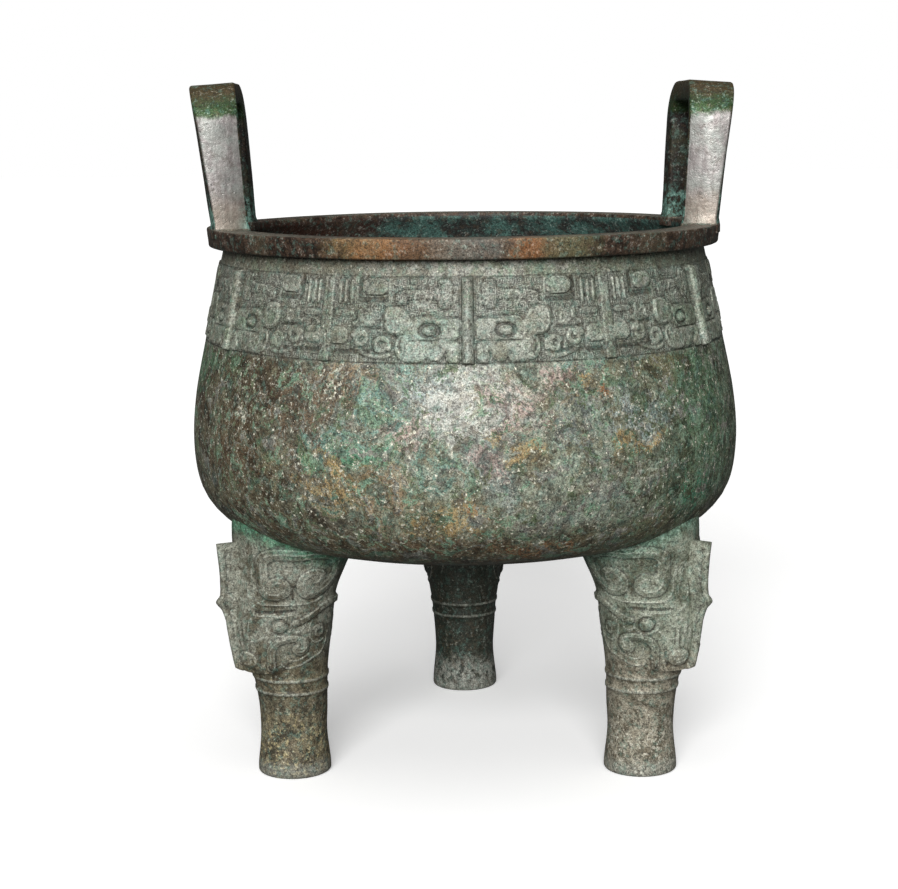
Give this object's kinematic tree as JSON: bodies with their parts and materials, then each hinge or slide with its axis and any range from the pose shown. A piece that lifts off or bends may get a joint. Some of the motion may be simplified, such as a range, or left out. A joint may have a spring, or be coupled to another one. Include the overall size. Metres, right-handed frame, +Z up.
{
  "type": "tripod ding vessel",
  "caption": "Large round bronze ding: a deep open bowl with a flat lip, upright loop handles, a cast mask band under the rim and flanged, mask-covered legs.",
  "frame": {"origin": "on the axis of the bowl, level with the soles of the feet", "axes": "+Z up along the bowl's axis; -Y is the front, between the two front legs; the handles stand at +X and -X"},
  "size_m": [0.8274, 0.8328, 1.0189],
  "materials": {
    "bronze": "old cast bronze with green, brown and ochre patina"
  },
  "bodies": {
    "root": {"ding": "bronze"}
  },
  "joints": []
}
